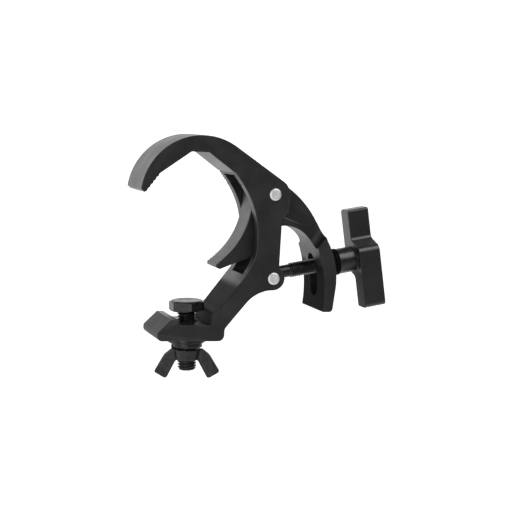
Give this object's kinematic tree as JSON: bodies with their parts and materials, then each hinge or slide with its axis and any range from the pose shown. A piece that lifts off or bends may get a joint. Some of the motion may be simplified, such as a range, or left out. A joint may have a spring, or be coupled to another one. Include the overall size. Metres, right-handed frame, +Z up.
{
  "type": "pipe clamp",
  "caption": "Slim hook clamp with a hinged jaw, a swing bolt and wing knob that close it on a round tube, and a foot bolt with wing nut for the load.",
  "frame": {"origin": "on the axis of the gripped tube, in the middle of the clamp's width", "axes": "+X from the hook's mouth towards the clamping knob, +Y along the tube, +Z up from the foot to the hook"},
  "size_m": [0.1413, 0.0316, 0.1282],
  "materials": {
    "anodised_body": "satin black anodised extrusion",
    "anodised_lever": "satin black anodised extrusion",
    "zinc_rivet": "bright zinc-plated steel",
    "zinc_steel": "bright zinc-plated steel",
    "black_steel": "black oxide steel",
    "black_nylon": "matt black nylon",
    "brass": "machined brass",
    "black_plastic": "satin moulded glass-filled nylon"
  },
  "bodies": {
    "clamp_frame": {"clamp_body": "anodised_body", "lever_rivet": "zinc_rivet", "swing_bolt_rivet": "zinc_rivet", "eye_spacer_front": "zinc_steel", "eye_spacer_back": "zinc_steel"},
    "lever": {"jaw_lever": "anodised_lever"},
    "eye_bolt": {"swing_bolt": "black_steel"},
    "knob_washers": {"knob_thrust_collar": "zinc_steel", "knob_friction_ring": "black_nylon"},
    "knob": {"wing_knob": "black_plastic", "knob_insert": "brass"},
    "load_bolt": {"foot_bolt": "black_steel"},
    "load_washers": {"foot_washer": "black_steel", "foot_spring_washer": "black_steel"},
    "load_nut": {"wing_nut": "black_steel"}
  },
  "joints": [
    {"name": "jaw_swing", "type": "hinge", "parent": "clamp_frame", "child": "lever", "pos_m": [0.041, 0, 0.006], "axis": [0, 1, 0], "range_deg": [-4.92, 12.52]},
    {"name": "bolt_swing", "type": "hinge", "parent": "clamp_frame", "child": "eye_bolt", "pos_m": [0.0428, 0, -0.0379], "axis": [0, 1, 0], "range_deg": [-4.92, 12.52]},
    {"name": "knob_travel", "type": "slide", "parent": "eye_bolt", "child": "knob_washers", "axis": [-0.9816, 0, -0.1908], "range_m": [-0.00376, 0.00957]},
    {"name": "knob_spin", "type": "hinge", "parent": "knob_washers", "child": "knob", "pos_m": [0.09188, 0, -0.02836], "axis": [-0.9816, 0, -0.1908], "range_deg": [-1080, 2754]},
    {"name": "foot_bolt_lift", "type": "slide", "parent": "clamp_frame", "child": "load_bolt", "axis": [-0.0593, 0, 0.9982], "range_m": [-0.0047, 0]},
    {"name": "washer_drop", "type": "slide", "parent": "load_bolt", "child": "load_washers", "axis": [0.0593, 0, -0.9982], "range_m": [0, 0.0045]},
    {"name": "wing_nut_spin", "type": "hinge", "parent": "load_washers", "child": "load_nut", "pos_m": [0.00223, 0, -0.08], "axis": [0.0593, 0, -0.9982], "range_deg": [0, 1081]}
  ],
  "couplings": [
    {"joint": "jaw_swing", "follows": "knob_spin", "ratio": 0.0045389},
    {"joint": "bolt_swing", "follows": "knob_spin", "ratio": 0.0045389},
    {"joint": "knob_travel", "follows": "knob_spin", "m_per_rad": 0.00019894},
    {"joint": "wing_nut_spin", "follows": "washer_drop", "rad_per_m": 4188.8}
  ]
}
